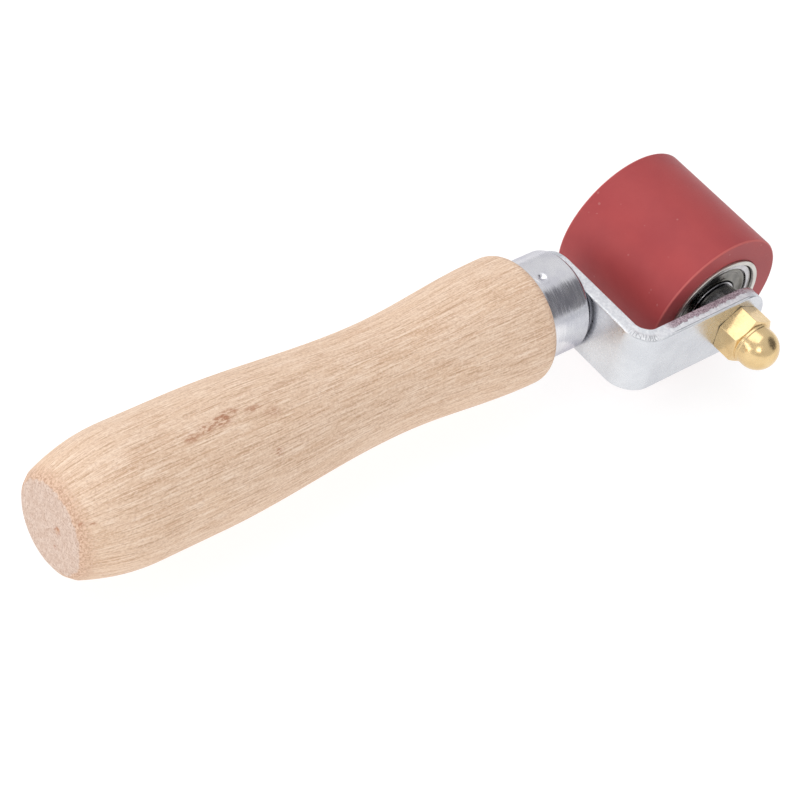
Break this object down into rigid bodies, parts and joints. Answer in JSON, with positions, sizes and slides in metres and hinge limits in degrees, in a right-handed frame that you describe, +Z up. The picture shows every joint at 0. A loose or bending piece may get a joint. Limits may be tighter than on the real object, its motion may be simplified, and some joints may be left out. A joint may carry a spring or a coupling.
{
  "type": "seam roller",
  "caption": "Hand roller: a wide silicone wheel on ball bearings, on a bent strip bracket with a turned wooden handle and a domed nut.",
  "frame": {"origin": "centre of the bounding box's bottom face, below the handle, level with the lowest line of the roller", "axes": "+X along the handle towards the roller, +Z up across the width of the bracket's strip, the roller turns about Y and the domed nut is on the -Y side"},
  "size_m": [0.173, 0.0532, 0.035],
  "materials": {
    "light_hardwood": "bare sanded beech, unvarnished",
    "bright_zinc": "bright zinc over fine turned brushing",
    "satin_zinc": "satin zinc plating with sheared edges",
    "rivet_zinc": "zinc plated, peened",
    "axle_zinc": "turned, zinc plated",
    "spacer_steel": "turned steel",
    "polished_brass": "polished brass",
    "bearing_steel": "ground bearing steel",
    "shield_steel": "pressed and polished steel",
    "cage_steel": "pressed steel, lightly oiled",
    "ball_steel": "mirror-polished steel",
    "hub_aluminium": "turned aluminium, dull",
    "red_silicone": "matt red silicone, ground smooth"
  },
  "bodies": {
    "frame": {"wood_handle": "light_hardwood", "ferrule": "bright_zinc", "tang_rivet": "rivet_zinc", "bracket": "satin_zinc", "axle": "axle_zinc", "cap_nut": "polished_brass", "near_spacer": "spacer_steel", "far_washer": "spacer_steel", "distance_tube": "spacer_steel", "near_inner_ring": "bearing_steel", "far_inner_ring": "bearing_steel"},
    "roller": {"silicone_sleeve": "red_silicone", "hub": "hub_aluminium", "near_outer_ring": "bearing_steel", "near_left_shield": "shield_steel", "near_right_shield": "shield_steel", "far_outer_ring": "bearing_steel", "far_left_shield": "shield_steel", "far_right_shield": "shield_steel"},
    "near_ball_set": {"near_cage": "cage_steel", "near_ball_1": "ball_steel", "near_ball_2": "ball_steel", "near_ball_3": "ball_steel", "near_ball_4": "ball_steel", "near_ball_5": "ball_steel", "near_ball_6": "ball_steel", "near_ball_7": "ball_steel"},
    "far_ball_set": {"far_cage": "cage_steel", "far_ball_1": "ball_steel", "far_ball_2": "ball_steel", "far_ball_3": "ball_steel", "far_ball_4": "ball_steel", "far_ball_5": "ball_steel", "far_ball_6": "ball_steel", "far_ball_7": "ball_steel"}
  },
  "joints": [
    {"name": "roller_spin", "type": "hinge", "parent": "frame", "child": "roller", "pos_m": [0.069, 0.00985, 0.0175], "axis": [0, 1, 0], "continuous": true},
    {"name": "near_ball_set_spin", "type": "hinge", "parent": "frame", "child": "near_ball_set", "pos_m": [0.069, 0.00985, 0.0175], "axis": [0, 1, 0], "continuous": true},
    {"name": "far_ball_set_spin", "type": "hinge", "parent": "frame", "child": "far_ball_set", "pos_m": [0.069, 0.00985, 0.0175], "axis": [0, 1, 0], "continuous": true}
  ],
  "couplings": [
    {"joint": "near_ball_set_spin", "follows": "roller_spin", "ratio": 0.6323},
    {"joint": "far_ball_set_spin", "follows": "roller_spin", "ratio": 0.6323}
  ]
}
